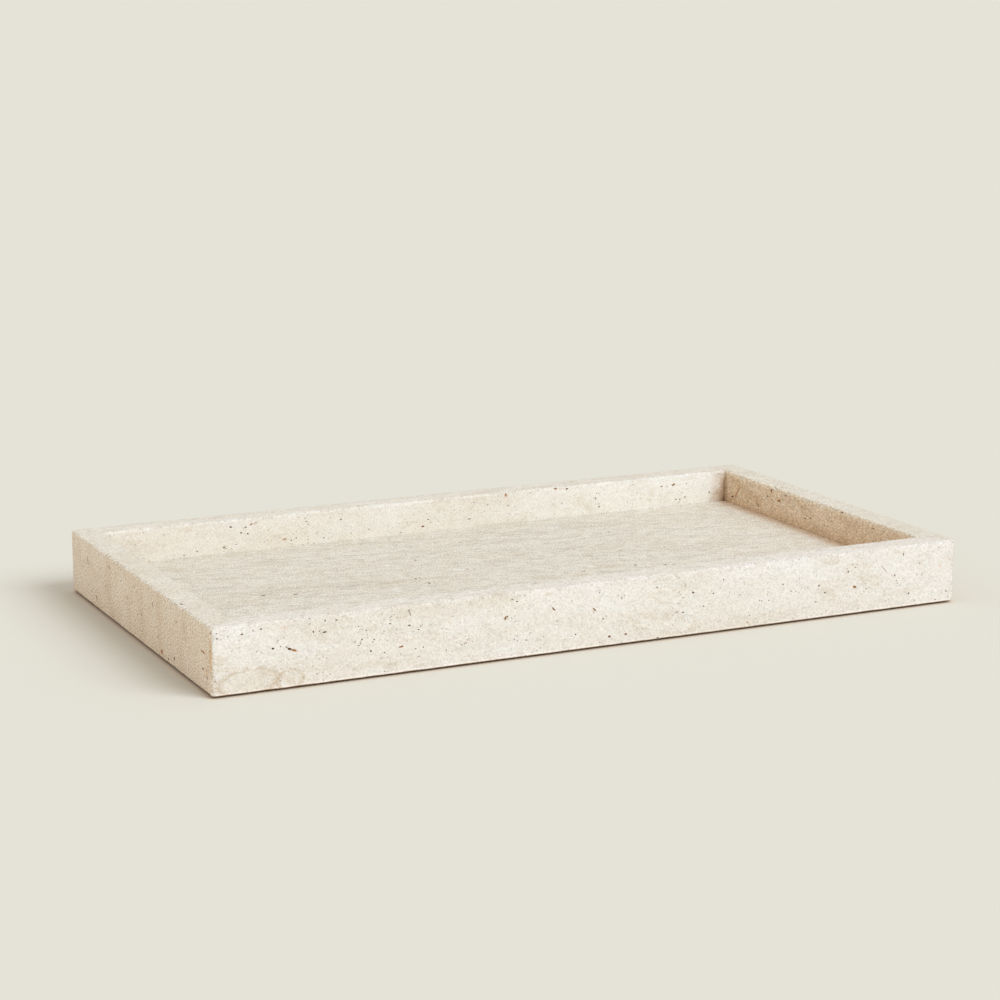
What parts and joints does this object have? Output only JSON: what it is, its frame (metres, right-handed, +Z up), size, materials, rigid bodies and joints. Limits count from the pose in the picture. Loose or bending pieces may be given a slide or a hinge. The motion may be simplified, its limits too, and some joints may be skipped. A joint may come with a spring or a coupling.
{
  "type": "stone vanity tray",
  "caption": "Long rectangular travertine vanity tray: mitred rim strips bonded round a let-in floor slab, shallow square-cornered pocket, thin round pads beneath.",
  "frame": {"origin": "on the surface that the tray stands on, under its middle", "axes": "+X along the tray, +Y from the front to the back, +Z up"},
  "size_m": [0.4, 0.22, 0.033],
  "materials": {
    "floor_stone": "honed unfilled travertine, sawn along the bedding: grey-beige, fine streaks along the tray",
    "face_stone": "honed unfilled travertine: cream, cloudy, with scattered open pores",
    "end_stone": "honed unfilled travertine, sawn across the bedding: warm, speckled, short upright pores",
    "joint_resin": "cured stone-coloured resin",
    "pad_rubber": "matt"
  },
  "bodies": {
    "root": {"base_slab": "floor_stone", "front_rim": "face_stone", "back_rim": "face_stone", "left_rim": "end_stone", "right_rim": "end_stone", "front_left_bond": "joint_resin", "front_right_bond": "joint_resin", "back_left_bond": "joint_resin", "back_right_bond": "joint_resin", "base_bond": "joint_resin", "front_left_pad": "pad_rubber", "front_right_pad": "pad_rubber", "back_left_pad": "pad_rubber", "back_right_pad": "pad_rubber"}
  },
  "joints": []
}
